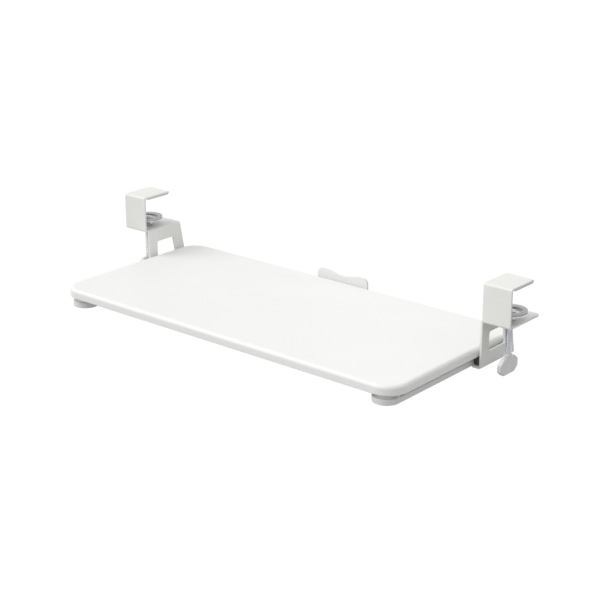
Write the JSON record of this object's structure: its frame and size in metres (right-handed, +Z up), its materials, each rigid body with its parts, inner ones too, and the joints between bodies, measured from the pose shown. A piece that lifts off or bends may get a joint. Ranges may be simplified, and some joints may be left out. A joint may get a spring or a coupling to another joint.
{
  "type": "clamp-on keyboard tray",
  "caption": "Pull-out under-desk tray: a flat board on two rails that slides on two C-clamp brackets with screw clamps, and has a low rear stop.",
  "frame": {"origin": "on the desk's front top edge, midway between the two clamps, where the top plates' liners and the front plates' rear faces meet the desk", "axes": "+X along the desk's edge, +Y under the desk, +Z up"},
  "size_m": [0.7672, 0.3033, 0.1375],
  "materials": {
    "board_laminate": "matt white laminate on fibreboard",
    "moulded_plastic": "moulded off-white plastic, fine texture",
    "powder_coat": "white powder coat, satin",
    "slider_plastic": "dark slippery plastic",
    "zinc_steel": "bright zinc plating",
    "rubber": "matt grey rubber"
  },
  "bodies": {
    "clamps": {"bracket_right": "powder_coat", "slider_shoe_right": "slider_plastic", "jaw_liner_right": "rubber", "clamp_nut_right": "zinc_steel", "bracket_left": "powder_coat", "slider_shoe_left": "slider_plastic", "jaw_liner_left": "rubber", "clamp_nut_left": "zinc_steel", "shoe_screw_right_1": "zinc_steel", "shoe_screw_right_2": "zinc_steel", "shoe_screw_left_1": "zinc_steel", "shoe_screw_left_2": "zinc_steel"},
    "tray": {"board": "board_laminate", "rear_stop": "moulded_plastic", "rear_stop_screw_1": "zinc_steel", "rear_stop_screw_2": "zinc_steel", "rail_right": "moulded_plastic", "rail_left": "moulded_plastic", "rail_cap_right": "moulded_plastic", "rail_cap_left": "moulded_plastic", "cap_screw_right_1": "zinc_steel", "cap_screw_left_1": "zinc_steel", "rail_screw_right_1": "zinc_steel", "rail_screw_right_2": "zinc_steel", "rail_screw_right_3": "zinc_steel", "rail_screw_left_1": "zinc_steel", "rail_screw_left_2": "zinc_steel", "rail_screw_left_3": "zinc_steel"},
    "pad_right": {"pad_cup_right": "zinc_steel", "pad_ring_right": "rubber", "pad_washer_right": "zinc_steel"},
    "screw_right": {"clamp_screw_right": "zinc_steel", "knob_right": "moulded_plastic"},
    "pad_left": {"pad_cup_left": "zinc_steel", "pad_ring_left": "rubber", "pad_washer_left": "zinc_steel"},
    "screw_left": {"clamp_screw_left": "zinc_steel", "knob_left": "moulded_plastic"}
  },
  "joints": [
    {"name": "tray_slide", "type": "slide", "parent": "clamps", "child": "tray", "axis": [0, 1, 0], "range_m": [0, 0.17]},
    {"name": "pad_lift_right", "type": "slide", "parent": "clamps", "child": "pad_right", "axis": [0, 0, 1], "range_m": [-0.004, 0.035]},
    {"name": "screw_turn_right", "type": "hinge", "parent": "pad_right", "child": "screw_right", "pos_m": [0.3587, 0.0277, -0.0363], "axis": [0, 0, 1], "range_deg": [-963, 8403]},
    {"name": "pad_lift_left", "type": "slide", "parent": "clamps", "child": "pad_left", "axis": [0, 0, 1], "range_m": [-0.004, 0.035]},
    {"name": "screw_turn_left", "type": "hinge", "parent": "pad_left", "child": "screw_left", "pos_m": [-0.3587, 0.0277, -0.0363], "axis": [0, 0, 1], "range_deg": [-963, 8403]}
  ],
  "couplings": [
    {"joint": "screw_turn_right", "follows": "pad_lift_right", "rad_per_m": 4188.8},
    {"joint": "screw_turn_left", "follows": "pad_lift_left", "rad_per_m": 4188.8}
  ]
}
